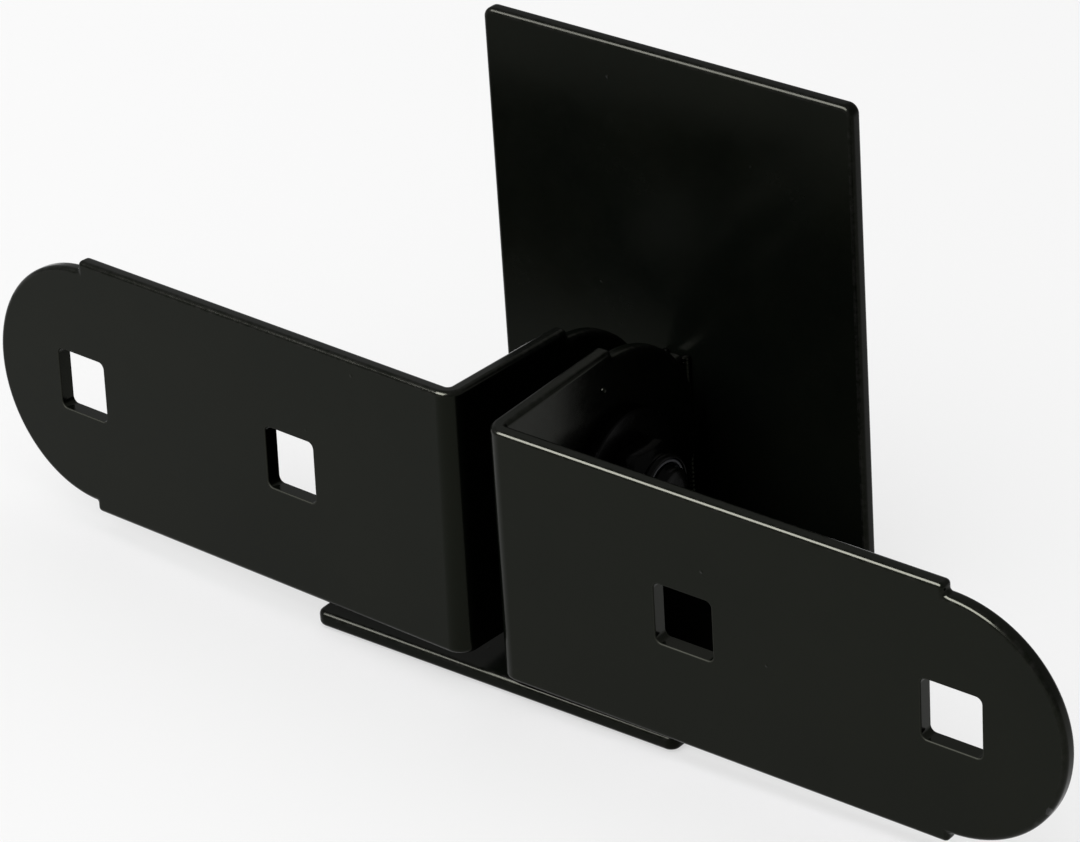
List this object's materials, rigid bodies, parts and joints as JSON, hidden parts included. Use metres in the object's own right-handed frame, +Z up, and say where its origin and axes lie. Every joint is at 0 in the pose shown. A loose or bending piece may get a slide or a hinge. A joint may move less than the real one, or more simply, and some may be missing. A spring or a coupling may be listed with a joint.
{
  "type": "pivoting strap latch",
  "caption": "Pivoting strap latch: bent steel straps with square bolt holes swing on one bolt in front of an L-shaped latch plate.",
  "frame": {"origin": "on the underside of the latch plate's ledge, midway between the straps and straight below the pivot axis", "axes": "+X along the pivot bolt towards the right strap's tip, +Y from the straps' legs towards the latch plate's upright, +Z up the upright"},
  "size_m": [0.2409, 0.0643, 0.0985],
  "materials": {
    "coated_sheet": "glossy black coating on sheet steel",
    "black_hardware": "semi-gloss black on steel fasteners",
    "nylon": "dark nylon"
  },
  "bodies": {
    "latch_body": {"latch_plate": "coated_sheet", "pivot_tongue": "coated_sheet", "left_upright_weld": "coated_sheet", "right_upright_weld": "coated_sheet", "left_ledge_weld": "coated_sheet", "right_ledge_weld": "coated_sheet", "pivot_bolt": "black_hardware", "lock_nut": "black_hardware", "nut_insert": "nylon", "head_washer": "black_hardware", "left_thrust_washer": "black_hardware", "right_thrust_washer": "black_hardware", "nut_washer": "black_hardware"},
    "left_swing": {"left_strap": "coated_sheet"},
    "right_swing": {"right_strap": "coated_sheet"}
  },
  "joints": [
    {"name": "left_strap_pivot", "type": "hinge", "parent": "latch_body", "child": "left_swing", "pos_m": [0, 0, 0.0301], "axis": [1, 0, 0], "range_deg": [-86, 4]},
    {"name": "right_strap_pivot", "type": "hinge", "parent": "latch_body", "child": "right_swing", "pos_m": [0, 0, 0.0301], "axis": [1, 0, 0], "range_deg": [-91, 0]}
  ]
}
